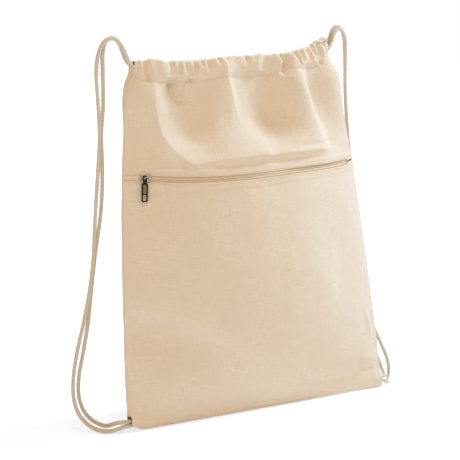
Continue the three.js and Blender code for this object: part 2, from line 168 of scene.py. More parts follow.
LEFT_CORD = [
    (-0.1754, -0.0275, 0.0072), (-0.185, -0.0275, 0.0071), (-0.193, -0.0268, 0.0056),
    (-0.2, -0.023, 0.0034), (-0.206, -0.0165, 0.0025), (-0.212, -0.008, 0.0036), (-0.219, 0, 0.0095),
    (-0.226, 0.006, 0.021), (-0.23, 0.009, 0.038), (-0.229, 0.011, 0.06), (-0.2225, 0.0125, 0.09),
    (-0.213, 0.0145, 0.12), (-0.2045, 0.016, 0.152), (-0.198, 0.018, 0.187), (-0.193, 0.02, 0.24),
    (-0.188, 0.022, 0.285), (-0.184, 0.024, 0.325), (-0.1845, 0.026, 0.365), (-0.1855, 0.027, 0.392),
    (-0.183, 0.028, 0.411), (-0.1785, 0.028, 0.423), (-0.171, 0.028, 0.431), (-0.162, 0.0272, 0.432),
    (-0.1545, 0.0262, 0.4255), (-0.1495, 0.0252, 0.416), (-0.145, 0.0245, 0.4065),
    (-0.139, 0.024, 0.4005), (-0.13, 0.0232, 0.3986), (-0.115, 0.0216, 0.3983), (-0.0975, 0.02, 0.3982),
    (-0.049, 0.0171, 0.3994), (0, 0.0161, 0.4016), (0.049, 0.0171, 0.4049), (0.08, 0.0187, 0.4076),
    (0.101, 0.0203, 0.4091), (0.106, 0.0214, 0.4084), (0.1097, 0.0244, 0.4063), (0.111, 0.0284, 0.4034),
    (0.1097, 0.0324, 0.4005), (0.106, 0.0352, 0.3985), (0.101, 0.0362, 0.3978), (0.08, 0.0373, 0.3963),
    (0.0495, 0.0393, 0.3941), (0, 0.0405, 0.3914), (-0.0495, 0.0393, 0.3888), (-0.099, 0.0359, 0.3872),
    (-0.112, 0.0344, 0.3884), (-0.122, 0.0324, 0.3928), (-0.1305, 0.0302, 0.3974),
    (-0.1385, 0.029, 0.4006), (-0.145, 0.0298, 0.407), (-0.149, 0.0305, 0.416), (-0.153, 0.0313, 0.426),
    (-0.1606, 0.0321, 0.4326), (-0.1694, 0.0328, 0.4294), (-0.1734, 0.033, 0.418),
    (-0.174, 0.0325, 0.395), (-0.1745, 0.0315, 0.36), (-0.1785, 0.0295, 0.326), (-0.179, 0.0275, 0.285),
    (-0.1825, 0.0255, 0.243), (-0.193, 0.0232, 0.187), (-0.1995, 0.021, 0.15), (-0.2045, 0.0195, 0.118),
    (-0.212, 0.018, 0.086), (-0.219, 0.0165, 0.058), (-0.2195, 0.0155, 0.036), (-0.213, 0.0155, 0.0185),
    (-0.2045, 0.0125, 0.008), (-0.1985, 0.0045, 0.004), (-0.1965, -0.006, 0.0048),
    (-0.196, -0.0155, 0.0084), (-0.1928, -0.0236, 0.0114), (-0.1855, -0.0273, 0.012),
    (-0.1754, -0.0275, 0.012),
]

RIGHT_CORD = [
    (0.1754, -0.0275, 0.0072), (0.185, -0.0275, 0.007), (0.193, -0.026, 0.005), (0.201, -0.02, 0.0028),
    (0.208, -0.0125, 0.004), (0.213, -0.008, 0.013), (0.2115, -0.0055, 0.028), (0.206, -0.0035, 0.042),
    (0.197, -0.002, 0.06), (0.188, 0.0005, 0.082), (0.1815, 0.005, 0.11), (0.1765, 0.01, 0.15),
    (0.1735, 0.014, 0.2), (0.171, 0.018, 0.25), (0.1685, 0.0225, 0.3), (0.1675, 0.0265, 0.34),
    (0.1675, 0.029, 0.37), (0.169, 0.031, 0.393), (0.1696, 0.032, 0.411), (0.1686, 0.032, 0.4255),
    (0.1636, 0.0314, 0.435), (0.1564, 0.0302, 0.4374), (0.1498, 0.0288, 0.433), (0.1453, 0.0272, 0.425),
    (0.1402, 0.0257, 0.4176), (0.132, 0.024, 0.411), (0.12, 0.0212, 0.4035), (0.11, 0.0194, 0.4004),
    (0.099, 0.018, 0.399), (0.0494, 0.0145, 0.3947), (0, 0.0134, 0.3915), (-0.0494, 0.0145, 0.3894),
    (-0.08, 0.0166, 0.3886), (-0.101, 0.0184, 0.3883), (-0.1061, 0.0197, 0.3889),
    (-0.1099, 0.023, 0.3905), (-0.1113, 0.0275, 0.3926), (-0.1099, 0.032, 0.3947),
    (-0.1061, 0.0353, 0.3963), (-0.101, 0.0366, 0.3969), (-0.08, 0.0379, 0.3975),
    (-0.0487, 0.0396, 0.3988), (0, 0.0406, 0.4015), (0.0487, 0.0396, 0.4043), (0.098, 0.0367, 0.4081),
    (0.112, 0.0353, 0.4098), (0.124, 0.0334, 0.412), (0.1325, 0.0316, 0.4146), (0.1395, 0.031, 0.418),
    (0.1455, 0.033, 0.426), (0.1505, 0.0348, 0.4344), (0.158, 0.0363, 0.4402), (0.1662, 0.037, 0.4376),
    (0.1712, 0.037, 0.428), (0.1728, 0.0365, 0.412), (0.1728, 0.0355, 0.393), (0.1715, 0.0335, 0.37),
    (0.171, 0.031, 0.34), (0.172, 0.027, 0.3), (0.1745, 0.0225, 0.25), (0.177, 0.0185, 0.2),
    (0.18, 0.0148, 0.15), (0.183, 0.01, 0.11), (0.186, 0.0065, 0.084), (0.1905, 0.0025, 0.062),
    (0.1955, 0, 0.042), (0.1995, -0.0035, 0.027), (0.2005, -0.0095, 0.016), (0.198, -0.017, 0.0112),
    (0.1925, -0.0236, 0.011), (0.1855, -0.0273, 0.012), (0.1754, -0.0275, 0.012),
]


def smooth_step(t, rise, start, end):
    """How far a smooth curve has risen at a share t of its way, between two slopes."""
    return t * (start + t * ((3 * rise - 2 * start - end) + t * (start + end - 2 * rise)))


def evenly_along(points, step):
    """Points a step apart on a smooth curve through the given ones."""
    points = np.asarray(points, dtype=float)
    fine = []
    padded = np.vstack([2 * points[0] - points[1], points, 2 * points[-1] - points[-2]])
    for a, b, c, d in zip(padded, padded[1:], padded[2:], padded[3:]):
        gaps = [max(math.sqrt(np.linalg.norm(q - p)), 1e-6) for p, q in ((a, b), (b, c), (c, d))]
        start = (b - a) / gaps[0] - (c - a) / (gaps[0] + gaps[1]) + (c - b) / gaps[1]
        end = (c - b) / gaps[1] - (d - b) / (gaps[1] + gaps[2]) + (d - c) / gaps[2]
        t = np.linspace(0, 1, 24, endpoint=False)[:, None]
        fine.append(b + smooth_step(t, c - b, start * gaps[1], end * gaps[1]))
    fine = np.vstack(fine + [points[-1:]])
    travelled = np.concatenate([[0], np.cumsum(np.linalg.norm(np.diff(fine, axis=0), axis=1))])
    places = np.linspace(0, travelled[-1], int(travelled[-1] / step) + 1)
    return np.column_stack([np.interp(places, travelled, fine[:, k]) for k in range(3)])


def make_cord(name, node, route):
    """A braided cord along its route, with both ends sewn into the bag."""
    centres = evenly_along(route, CORD_STEP)
    along = np.arange(len(centres)) * CORD_STEP
    turns = np.arange(CORD_SIDES) / CORD_SIDES
    yarns, pitches = YARNS * turns[None, :], along[:, None] / BRAID_PITCH
    crossing = np.cos(math.pi * (yarns + pitches)) * np.cos(math.pi * (yarns - pitches))
    uneven = 0.03 * np.sin(along * 41) + 0.02 * np.sin(along * 97 + 1)
    radii = CORD / 2 * (0.96 + 0.11 * np.abs(crossing) + uneven[:, None])
    rings = tube_rings(centres, radii, CORD_SIDES)
    uv = uv_pairs(turns[None, :], along[:, None]).reshape(-1, 2)
    faces = capped_faces(len(centres), CORD_SIDES)
    cord = mesh_piece(name, rings.reshape(-1, 3), faces, BRAID, slot="cord", uv=uv)
    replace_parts(cord, node)


# --- The filled bag's surfaces ---

TOP = 0.414  # the mouth's edge at its middle
CASING_FOOT = 0.388
ZIP = 0.28
TOP_SKEW = 0.008  # the right top corner is pulled up and the left one hangs
LEAN, SETBACK = 0.141, 0.0289  # the side seams' slope backwards, and their place at the floor
SEAM_GAP, MOUTH_GAP = 0.0014, 0.004  # from the middle of a seam to either cloth, and the same at the mouth
CORNER_OPENING, CORNER_HEIGHT, CORNER_SPREAD = 0.0042, 0.0096, 0.008  # where the cord ends come out
MOUTH_SPREAD = 0.0055  # how far the gathered cloth stands past the frame at each side
RIGHT_PULL, LEFT_PULL = 0.0095, 0.0045  # how far the cords pull the ends of the mouth in

# How far the zip's line stands above an even droop, from side to side.
ZIP_SAG = np.array([
    (-1, 0), (-0.9, -0.0006), (-0.8, -0.0009), (-0.66, -0.0015), (-0.47, -0.0014),
    (-0.24, -0.0006), (0, 0.0009), (0.27, 0.0021), (0.5, 0.0015), (0.7, 0.0003),
    (0.86, -0.0006), (0.94, -0.0004), (1, 0),
])

# Height, half width, forward bulge and droop of the middle.
FRONT = np.array([
    (0, 0.182, 0, 0),
    (0.05, 0.1805, 0.024, 0.001),
    (0.12, 0.1765, 0.042, 0.003),
    (0.2, 0.1708, 0.047, 0.005),
    (0.28, 0.163, 0.042, 0.0055),
    (0.35, 0.1525, 0.024, 0.005),
    (0.388, 0.143, 0.011, 0.0046),
    (0.414, 0.1375, 0.007, 0.0044),
])

# Height, bulge, and how far the middle sinks to make the base.
BACK = np.array([
    (0, 0, 0),
    (0.007, 0.024, 0.0076),
    (0.014, 0.044, 0.0144),
    (0.024, 0.054, 0.015),
    (0.04, 0.057, 0.009),
    (0.08, 0.057, 0.002),
    (0.13, 0.055, 0),
    (0.2, 0.052, 0.001),
    (0.28, 0.043, 0.003),
    (0.35, 0.024, 0.004),
    (0.388, 0.011, 0.0046),
    (0.414, 0.007, 0.0044),
])


def through(stations, column, z):
    """A smooth curve through one column of a table, read at heights z."""
    heights, values = stations[:, 0], stations[:, column]
    slopes = np.empty_like(values)
    slopes[1:-1] = (values[2:] - values[:-2]) / (heights[2:] - heights[:-2])
    slopes[0] = (values[1] - values[0]) / (heights[1] - heights[0])
    slopes[-1] = (values[-1] - values[-2]) / (heights[-1] - heights[-2])
    i = np.clip(np.searchsorted(heights, z, side="right") - 1, 0, len(heights) - 2)
    span = heights[i + 1] - heights[i]
    t = np.clip((z - heights[i]) / span, 0, 1)
    return values[i] + smooth_step(t, values[i + 1] - values[i], slopes[i] * span, slopes[i + 1] * span)


def ease(value, low, high):
    """0 up to low, 1 from high on, and a smooth step between them."""
    t = np.clip((value - low) / (high - low), 0, 1)
    return t * t * (3 - 2 * t)


def arc_share(s, half, sagitta):
    """Height of a circular arc over its chord, as a share of its sagitta."""
    sagitta = np.maximum(sagitta, 0.001)
    radius = (half * half + sagitta * sagitta) / (2 * sagitta)
    reach = np.minimum(np.abs(s) * half, radius)
    return (np.sqrt(radius * radius - reach**2) - (radius - sagitta)) / sagitta


def seam_gap(s, z):
    """How far each cloth stands off the middle of the side seams."""
    mouth = (MOUTH_GAP - SEAM_GAP) * ease(z, 0.346, CASING_FOOT)
    corner = CORNER_OPENING * s**8 * np.exp(-(((z - CORNER_HEIGHT) / CORNER_SPREAD) ** 2))
    return SEAM_GAP + mouth + corner


def seam_y(z):
    """The depth of the side seams' middle."""
    return LEAN * z - SETBACK


def half_width(s, z):
    """The gathered cloth spreads past its frame below the mouth, and the cords pull its ends in."""
    right, left = RIGHT_PULL * ease(z, 0.374, 0.4), LEFT_PULL * ease(z, 0.386, 0.405)
    spread = MOUTH_SPREAD * ease(z, 0.325, 0.38)
    return through(FRONT, 1, z) + spread - np.where(s > 0, right, left)


def zip_sag(s, z):
    """The zip hangs low on the left of the middle and is pulled up on the right of it."""
    return np.interp(s, ZIP_SAG[:, 0], ZIP_SAG[:, 1]) * np.exp(-(((z - ZIP) / 0.05) ** 2))


def skew(s, z):
    """How far a point above the zip is raised by the uneven pull of the cords."""
    return TOP_SKEW * s * ease(z, ZIP + 0.014, TOP)


def front_base(s, z):
    """Points of the front's bare shape. s runs from -X to +X."""
    half = half_width(s, z)
    bulge, droop = through(FRONT, 2, z), through(FRONT, 3, z)
    share = arc_share(s, half, np.hypot(bulge, droop))
    y = seam_y(z) - seam_gap(s, z) - bulge * share
    return np.stack([s * half, y, z + skew(s, z) - droop * share + zip_sag(s, z)], axis=-1)


def back_base(s, z):
    """Points of the back's bare shape. s still runs from -X to +X."""
    half = half_width(s, z)
    bulge, sink = through(BACK, 1, z), through(BACK, 2, z)
    y = seam_y(z) + seam_gap(s, z) + bulge * arc_share(s, half, bulge)
    sunk = np.maximum(0, z - sink * (1 - s**4))
    return np.stack([s * half, y, sunk + skew(s, z)], axis=-1)


def outward(surface, s, z):
    """Unit vectors out of the bag, from either of its two bare surfaces."""
    step, rise = 0.002, 0.0005
    across = surface(s + step, z) - surface(s - step, z)
    up = surface(s, np.minimum(z + rise, TOP)) - surface(s, np.maximum(z - rise, 0))
    normal = np.cross(across, up) * (1 if surface is front_base else -1)
    length = np.linalg.norm(normal, axis=-1, keepdims=True)
    return normal / np.maximum(length, 1e-12)


def raised(surface, s, z, height):
    """Points at a height over a bare surface, along the cloth's outward direction."""
    return surface(s, z) + outward(surface, s, z) * np.asarray(height)[..., None]


def lattice_noise(x, z, cell, seed):
    """Smooth noise from -1 to 1 on square cells. The same seed gives the same noise."""
    cells = 64
    values = np.random.default_rng(seed).uniform(-1, 1, (cells, cells))
    u, v = x / cell + 20.3, z / cell + 11.7
    i, j = np.floor(u).astype(int), np.floor(v).astype(int)
    fu, fv = u - i, v - j
    fu, fv = fu * fu * (3 - 2 * fu), fv * fv * (3 - 2 * fv)
    low, high = (
        values[i % cells, k % cells] * (1 - fu) + values[(i + 1) % cells, k % cells] * fu
        for k in (j, j + 1)
    )
    return low * (1 - fv) + high * fv


# --- Folds ---


BROAD = 0.018  # folds with a wider flank than this are soft


def fold(x, z, line, left, right, edged=False):
    """Height of one fold over the cloth at points (x, z).

    line is a list of (x, z, height), along the bottom of a groove where height is negative or along a crest
    where it is positive. left and right are the widths of its flanks, as seen with the line running down.
    A narrow fold is a crease along its line. A broad one is soft: it takes a softened distance, which
    leaves no ridge inside the line's bends. An edged fold has its crease along the left flank's outer edge.
    """
    widest = max(left, right)
    broad = widest > BROAD
    line = evenly_along(line, 0.002 if broad else 0.004)
    blur, reach = 0.1 * widest, 2.7 * widest
    low, high = line.min(axis=0) - reach, line.max(axis=0) + reach
    near = (x > low[0]) & (x < high[0]) & (z > low[1]) & (z < high[1])
    px, pz = x[near], z[near]
    best = np.full(px.shape, np.inf)
    height, lean, total = np.zeros(px.shape), np.zeros(px.shape), np.zeros(px.shape)
    for (ax, az, ah), (bx, bz, bh) in zip(line, line[1:]):
        dx, dz = bx - ax, bz - az
        size = math.hypot(dx, dz)
        t = np.clip(((px - ax) * dx + (pz - az) * dz) / size**2, 0, 1)
        ox, oz = px - ax - t * dx, pz - az - t * dz
        distance = np.hypot(ox, oz)
        side = (dx * oz - dz * ox) / (size * np.maximum(distance, 1e-9))
        if broad:
            weight = size * np.exp(-distance / blur)
            total += weight
            height += weight * (ah + t * (bh - ah))
            lean += weight * side
        else:
            nearer = distance < best
            best = np.where(nearer, distance, best)
            height = np.where(nearer, ah + t * (bh - ah), height)
            lean = np.where(nearer, side, lean)
    if broad:
        total = np.maximum(total, 1e-30)
        best = np.maximum(-blur * np.log(total / (2 * blur)), 0)
        height, lean = height / total, lean / total
    reached = best / (left * (0.5 - 0.5 * lean) + right * (0.5 + 0.5 * lean))
    if edged:
        flank = np.clip(1 - reached**1.15, 0, 1) * (0.5 - 0.5 * lean)
        shape = flank + np.clip(1 - reached**2, 0, 1) ** 2 * (0.5 + 0.5 * lean)
    else:
        shape = np.exp(-(reached ** (2 if broad else 1.35)))
    result = np.zeros(x.shape)
    result[near] = height * shape
    return result


# The folds that the drawn cords make, each with its line in mm as (x, height of the cloth, fold's height)
# and the widths of its left and right flanks in mm.
UPPER_FOLDS = [
    # The slit near the left corner, and the puckers on its left.
    ([(-130, 421, -5), (-128, 409, -8.5), (-126, 398, -6), (-125, 388, 0)], 1.8, 3.4),
    ([(-138, 421, -2.5), (-135, 413, -2.5), (-133, 406, 0)], 2.2, 2.6),
    # The hooked pleat, which opens into a soft bowl on its right.
    ([(-101, 420, -5), (-94, 408, -6.5), (-93, 401, -6.5), (-96, 392, -6), (-96, 384, -4)], 2.6, 5),
    ([(-96, 394, -3), (-95, 386, -7), (-92, 377, -8), (-86, 371, -5.5), (-79, 369, -2.5),
      (-72, 369, 0)], 3.4, 13),
    ([(-91, 421, -3.5), (-84, 410, -6), (-83, 403, -4.5), (-87, 395, 0)], 2.2, 3),
    # The next pleat and its long shallow tail.
    ([(-77, 421, -4), (-74, 404, -6.5), (-70, 394, -6), (-70, 386, 0)], 2.4, 4.5),
    ([(-71, 394, 0), (-70, 382, -3), (-72, 366, -1.2), (-75, 350, 0)], 4, 12),
    # Small ruffles along the top edge.
    ([(-69, 420, -4.3), (-64, 408, -4.3), (-62, 399, 0)], 2.2, 3.6),
    ([(-59, 420, -3.8), (-55, 410, -3.8), (-53, 402, 0)], 1.8, 3),
    ([(-51, 420, -4.9), (-47, 407, -4.3), (-47, 397, 0)], 2.2, 4.5),
    ([(-38, 420, -3.5), (-34, 411, -2.9), (-31, 403, 0)], 2.2, 4),
    ([(-26, 420, -3.2), (-23, 411, -2.6), (-21, 404, 0)], 2.2, 4),
    # The long fold in the middle, which widens as it goes down.
    ([(-24, 421, 2.5), (-24, 403, 4), (-24, 391, 5), (-22, 378, 4.5), (-19, 360, 3), (-14, 338, 0)], 14, 6),
    ([(-22, 372, 0), (-24, 356, 1.2), (-30, 335, 0)], 10, 9),
    ([(3, 420, -2.8), (6, 409, -2.4), (8, 400, 0)], 2.4, 4),
    ([(17, 420, -2.4), (18, 409, -2), (19, 401, 0)], 3, 5),
    ([(31, 420, -3), (31, 405, -3), (30, 392, -1.8), (29, 380, 0)], 3, 10),
    # Pleats that lean to the right, towards the pulled corner.
    ([(46, 421, -5), (56, 408, -8.1), (59, 401, -8.8), (55, 391, -5), (54, 382, 0)], 2.6, 6.5),
    ([(64, 421, -6.2), (77, 408, -8.8), (82, 399, -10.6), (83, 392, -7.5), (82, 384, 0)], 2.4, 4.2),
    ([(76, 422, -5), (86, 410, -7.5), (91, 401, -3.2), (93, 394, 0)], 2.2, 3.4),
    ([(87, 423, -5), (97, 411, -7.8), (103, 401, -3.8), (106, 393, 0)], 2.4, 3.6),
    ([(97, 423, -4.5), (106, 412, -7.5), (112, 402, -3.8), (115, 393, 0)], 2.2, 3.4),
    ([(107, 424, -4.2), (114, 414, -6.8), (120, 404, -3.8), (123, 396, 0)], 2, 3),
    ([(116, 424, -3.8), (123, 415, -6.2), (128, 407, -2.5), (130, 401, 0)], 2, 2.8),
    ([(125, 424, -3), (131, 417, -3.5), (135, 410, 0)], 1.8, 2.4),
    # The strong fold of the right side, the groove on its right, and a small pucker beside them.
    ([(80, 407, 3), (79, 392, 8), (78, 372, 12), (83, 351, 12), (97, 328, 8), (115, 300, 0)], 28, 9),
    ([(88, 405, -1), (93, 389, -7), (98, 368, -12), (105, 351, -12), (117, 325, -7), (130, 299, 0)], 11, 28),
    ([(117, 404, -3), (118, 398, -6), (121, 390, 0)], 2, 4),
    # A soft wave right of the middle.
    ([(20, 404, 0), (22, 380, -10), (24, 354, -16), (20, 326, -9), (8, 304, 0)], 40, 26),
    # The ledge over the zip, and the small creases that end it on the right.
    ([(-100, 291, 0), (-80, 297, 3), (-40, 300, 5.4), (0, 301, 6), (60, 300, 6), (100, 300, 4),
      (126, 301, 0)], 4.4, 15),
    ([(40, 306, 0), (75, 306, -1.6), (120, 308, -1.8), (140, 312, 0)], 3, 3.5),
]

# Folds whose left flank starts at a crease: the narrow valley under the hooked pleat, and the broad one
# on its right, which turns along the zip.
EDGED_FOLDS = [
    ([(-101, 398, 0), (-101, 390, -2), (-100, 382, -4), (-98, 371, -4), (-97, 358, 0)], 14, 24),
    ([(-88, 396, 0), (-85, 378, -8), (-84, 360, -13), (-83, 346, -14), (-79, 334, -13), (-67, 326, -9),
      (-40, 319, 0)], 28, 52),
]

LOWER_FOLDS = [
    # From the dent in the left edge down to the right.
    ([(-180, 121, -9), (-150, 112, -13), (-118, 98, -12), (-85, 84, -8), (-40, 62, 0)], 28, 14),
    # Puckers of the right side seam and the dog-ear of the right bottom corner.
    ([(161, 100, 0), (164, 88, 2.2), (168, 72, 2.2), (170, 62, 0)], 5, 4),
    ([(140, 30, 0), (152, 27, -2.6), (166, 24, -3.4), (180, 26, -1.4)], 7, 6),
    ([(146, 44, 0), (158, 40, 2.4), (172, 40, 2.4), (182, 44, 0)], 9, 8),
    ([(168, 30, 0), (172, 20, 2.4), (170, 8, 1)], 6, 7),
    # Soft cushions over the bottom edge.
    ([(20, 26, 0), (70, 22, -1.6), (120, 20, -2.2), (150, 18, 0)], 14, 10),
    ([(-60, 24, 0), (-20, 20, -1.2), (20, 18, 0)], 12, 9),
    # Faint upright rolls.
    ([(30, 250, 0), (36, 200, 1.2), (40, 150, 1.4), (46, 100, 0)], 20, 26),
    ([(96, 262, 0), (104, 210, -1.4), (112, 150, -1.8), (120, 100, 0)], 22, 24),
]


def folds_over(table, x, z, edged=False):
    """The height that all folds of a table add up to."""
    total = np.zeros(np.shape(x))
    for line, left, right in table:
        total += fold(x, z, np.array(line) * MM, left * MM, right * MM, edged)
    return total


# --- Cloth ---

CLOTH = 0.0006
CASING_PUFF = 0.0092  # how far the casing stands out over its cords
PANEL_PUFF = 0.0066  # and the panel just below it
FRONT_END, BACK_END = 0.0031, 0.0006  # and the pinched ends of the two casings
STITCH_PINCH = 0.0006
HEM = 0.0008  # the folded hem beside the zip stands this far out
WINDOW_HALF = 0.0036  # half the slot between the hems
ZIP_STITCH = 0.0052  # from the middle of the zip to each row of stitches
COLUMNS = 401
EDGE = 0.999  # the cloths stop just short of the side seams
WEAVE_HALF = 0.19  # half the width of the flat cloth, for the scale of its weave
MOUTH_HALF = 0.14  # and half the gathered width of the mouth, for the scale of its ruffles


def casing_share(s, z):
    """0 on the panel, 1 on the casing. The casing's foot rises towards the pinched ends."""
    foot = CASING_FOOT + 0.0015 + 0.0135 * np.abs(s) ** 14
    return ease(z, foot - 0.0004, foot + 0.0045), foot


def soft_max(first, second):
    """The higher of two heights, rounded where they meet."""
    blend = 0.0006
    return 0.5 * (first + second + np.sqrt((first - second) ** 2 + blend * blend))


def gathered_level(s, z, end_level):
    """How far the crests of the folds stand out over the bare shape, near the mouth."""
    share, foot = casing_share(s, z)
    middle = 1 - np.abs(s) ** 12
    panel = PANEL_PUFF * ease(z, 0.32, CASING_FOOT) * middle
    casing = end_level + (CASING_PUFF - end_level) * middle
    rising = ease(z, foot - 0.002, foot + 0.013)
    pinch = -STITCH_PINCH * np.exp(-(((z - foot) / 0.0013) ** 2)) * middle
    least = end_level * share - 0.012 * (1 - share)
    return panel + (casing - panel) * rising + pinch, least, share


def front_height(s, z):
    """How far the front cloth stands out over the bare shape."""
    x = s * half_width(s, z)
    level, least, share = gathered_level(s, z, FRONT_END)
    upper = folds_over(UPPER_FOLDS, x, z) + folds_over(EDGED_FOLDS, x, z, edged=True)
    folds = np.where(z > ZIP, upper, folds_over(LOWER_FOLDS, x, z))
    crinkle = 0.0006 * lattice_noise(x, z, 0.034, 3) + 0.0002 * lattice_noise(x, z, 0.011, 4)
    ruffle = 0.001 * lattice_noise(x, z * 0.35, 0.0075, 5) * share
    hem = HEM * np.exp(-((np.maximum(np.abs(z - ZIP) - 0.0095, 0) / 0.0015) ** 2))
    calm = 1 - 0.8 * np.exp(-(((z - ZIP) / 0.012) ** 2))
    sides = 1 - np.abs(s) ** 14
    return soft_max(level + (folds + crinkle * calm + ruffle) * sides, least) + hem


def back_height(s, z):
    """How far the back cloth stands out over the bare shape."""
    x = s * half_width(s, z)
    level, least, share = gathered_level(s, z, BACK_END)
    least = least + 0.0025 * share * (1 - np.abs(s) ** 12)
    crinkle = 0.0011 * lattice_noise(x, z, 0.045, 13) + 0.00025 * lattice_noise(x, z, 0.012, 14)
    ruffle = 0.0014 * lattice_noise(x, z * 0.35, 0.0085, 15) * share
    sides = (1 - np.abs(s) ** 14) * ease(z, 0.02, 0.05)
    return soft_max(level + (folds_over(BACK_FOLDS, x, z) + crinkle + ruffle) * sides, least)


def gather_folds(seed, low, high):
    """Pleats of uneven width along the casing, with tails that run down into the panel."""
    random = np.random.default_rng(seed)
    table = []
    x = low
    while x < high:
        depth = random.uniform(2.5, 6)
        lean = random.uniform(-3, 3) + 6 * x / 150
        tail = random.choice([392, 384, 368, 345], p=[0.35, 0.3, 0.2, 0.15])
        tail_depth = -depth * random.uniform(0.3, 0.7)
        pleat = [(x - lean, 420, -depth), (x, 400, -depth)]
        line = pleat + [(x + lean * 0.3, 391, tail_depth), (x + lean, tail, 0)]
        flank = random.uniform(2.5, 5)
        table.append((line, flank, flank * random.uniform(1.1, 2.2)))
        x += random.uniform(8, 19)
    return table


BACK_FOLDS = gather_folds(7, -128, 130) + [
    ([(-95, 398, 0), (-92, 370, -5), (-80, 330, -5), (-64, 290, 0)], 26, 20),
    ([(-20, 396, 0), (-24, 365, -4), (-20, 325, -4), (-8, 280, 0)], 30, 24),
    ([(60, 396, 0), (64, 360, -5), (78, 320, -5), (96, 270, 0)], 24, 28),
    ([(-150, 150, 0), (-100, 128, -3.5), (-40, 118, -2), (10, 120, 0)], 20, 26),
    ([(150, 90, 0), (110, 78, -3), (60, 72, -2), (10, 74, 0)], 18, 16),
    ([(-30, 230, 0), (0, 190, 2), (20, 150, 2), (30, 100, 0)], 24, 24),
]

# Where the mouth's edge runs on the front, above the casing's even top: share of the half width, mm.
MOUTH_LINE = np.array([
    (-1, -1.5), (-0.94, 0), (-0.89, -1.4), (-0.86, 0), (-0.8, -1.6), (-0.72, -3.6), (-0.62, -3),
    (-0.53, -4.6), (-0.47, -3.8), (-0.39, -4.4), (-0.24, -3), (-0.09, -3), (-0.06, -4), (0.02, -2.8),
    (0.2, -3.6), (0.24, -6), (0.33, -5.4), (0.4, -6.4), (0.44, -5.6), (0.54, -8.4), (0.58, -6.6),
    (0.63, -5.6), (0.67, -6), (0.72, -4.2), (0.77, -3.8), (0.82, -0.6), (0.86, -0.4), (0.89, 1.2),
    (0.93, 1.6), (0.96, 3.4), (1, 3),
])


def spaced(low, high, step):
    """Values from low to high, about a step apart."""
    return np.linspace(low, high, max(2, int(round((high - low) / step)) + 1))


def columns():
    """The places of a cloth's columns across the bag."""
    return np.linspace(-1, 1, COLUMNS) * EDGE


def weave(s, along):
    """Texture coordinates that keep the weave's threads at their real size."""
    return np.stack([s * WEAVE_HALF, along], axis=-1)


def cloth_rows(surface, heights, standing, edge):
    """Points of a cloth over the bare shape, for rows of the given heights.

    edge(s) lowers the rows of the casing to the gathered line of the mouth.
    """
    s, z = np.meshgrid(columns(), heights)
    uv = weave(s, z)
    z = z + edge(s) * ease(z, 0.375, TOP)
    return raised(surface, s, z, standing(s, z)), uv


def front_edge(s):
    """How far the mouth's edge lies above the casing's even top."""
    ruffles = 0.0007 * lattice_noise(s * MOUTH_HALF, s * 0, 0.0042, 53) * (1 - s**8)
    return np.interp(s, MOUTH_LINE[:, 0], MOUTH_LINE[:, 1]) * MM + ruffles


def back_edge(s):
    wavy = 0.0016 * lattice_noise(s * MOUTH_HALF, s * 0, 0.02, 51) * (1 - s**4)
    sunk = np.array([-1.5, -3.5, -4.5, -8, -5, 0.5]) * MM
    return np.interp(s, [-1, -0.8, 0, 0.6, 0.85, 1], sunk) + wavy


def turned(edge, normal, along, depth, lift, steps=4):
    """Rows of points round the fold where a cloth turns over towards its inner side.

    depth is half the fold's thickness, and lift is how far it stands out past the edge.
    """
    angles = [math.pi * i / steps for i in range(1, steps + 1)]
    return [edge - normal * depth * (1 - math.cos(a)) + along * lift * math.sin(a) for a in angles]


def turned_top(surface, standing, edge):
    """The casing's fold over the top and its inner wall, from the outer wall's last row on."""
    s = columns()
    top = TOP + edge(s)
    normal, height = outward(surface, s, top), standing(s, top)[:, None]
    inner_depth, steps = 0.0036, 10
    crown = 0.0022 + 0.0008 * lattice_noise(s * MOUTH_HALF, s * 0, 0.006, 21)[:, None]
    outer = surface(s, top) + normal * height
    rows = turned(outer, normal, UP, (height + inner_depth) / 2, crown, steps)
    uv = [weave(s, top + 0.0006 * i) for i in range(1, steps + 1)]
    for share in np.linspace(0.04, 1, 9):
        heights = top + (CASING_FOOT + 0.001 - top) * share
        rows.append(raised(surface, s, heights, -inner_depth))
        uv.append(weave(s, 2 * TOP - heights + 0.006))
    return np.array(rows), np.array(uv)


def hem_rows(side):
    """A hem of the front, turned under at the zip: a small round fold and the layer behind it.

    side is 1 for the cloth above the zip and -1 for the cloth below it.
    """
    s = columns()
    z = np.full_like(s, ZIP + side * WINDOW_HALF)
    normal = outward(front_base, s, z)
    front = front_base(s, z) + normal * front_height(s, z)[:, None]
    width, radius, behind = 0.009, 0.00055, 0.0012
    rows = turned(front, normal, UP * -side, radius, radius)
    uv = [weave(s, z - side * 0.0004 * i) for i in range(1, len(rows) + 1)]
    for share in (0.35, 0.7, 1):
        heights = z + side * width * share
        rows.append(raised(front_base, s, heights, front_height(s, heights) - behind))
        uv.append(weave(s, z - side * (0.002 + width * share)))
    return np.array(rows), np.array(uv)


CORNER_LIFT, CORNER_DRAWN_IN = 0.0055, 0.002


def lift_corner(points):
    """The left bottom corner doesn't touch the floor, because its cords pull it up a little."""
    x, z = points[..., 0], points[..., 2]
    near = ease(-x, 0.158, 0.182) * (1 - ease(z, 0.0, 0.035))
    points[..., 2] += CORNER_LIFT * near
    points[..., 0] += CORNER_DRAWN_IN * near
    return points


def close_slot(points, side):
    """Past the slider's last place the two hems run together and cover the end of the zip."""
    s = columns()
    closing = 0.0027 * ease(s, 0.9, 0.95)
    level = np.abs(points[..., 2] - front_base(s, np.full_like(s, ZIP))[:, 2])
    points[..., 2] -= side * closing * (1 - ease(level, 0.004, 0.018))
    return points


